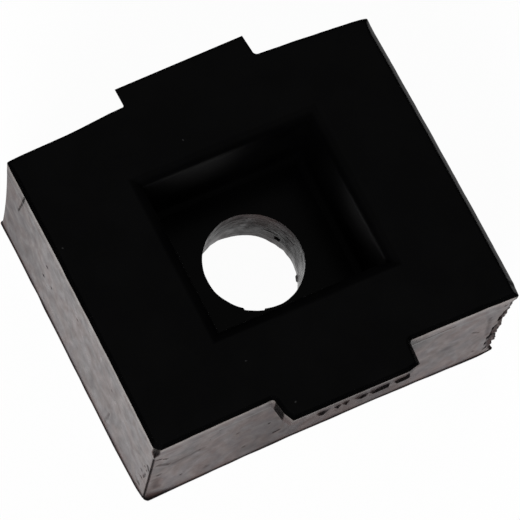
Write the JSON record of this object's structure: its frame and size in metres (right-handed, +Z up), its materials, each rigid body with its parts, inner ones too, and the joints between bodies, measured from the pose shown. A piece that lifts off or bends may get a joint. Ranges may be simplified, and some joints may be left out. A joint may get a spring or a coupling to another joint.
{
  "type": "rubber foot",
  "caption": "Square-pocketed rubber block that stands under a bench or desk, bored for a screw, with an ear on each long side.",
  "frame": {"origin": "on the bore's axis, in the plane that the foot stands on", "axes": "+X along the block, +Y across it towards the bowed long side, +Z up along the bore, out of the pocket"},
  "size_m": [0.0384, 0.0372, 0.0135],
  "materials": {
    "rubber": "satin"
  },
  "bodies": {
    "root": {"foot": "rubber"}
  },
  "joints": []
}
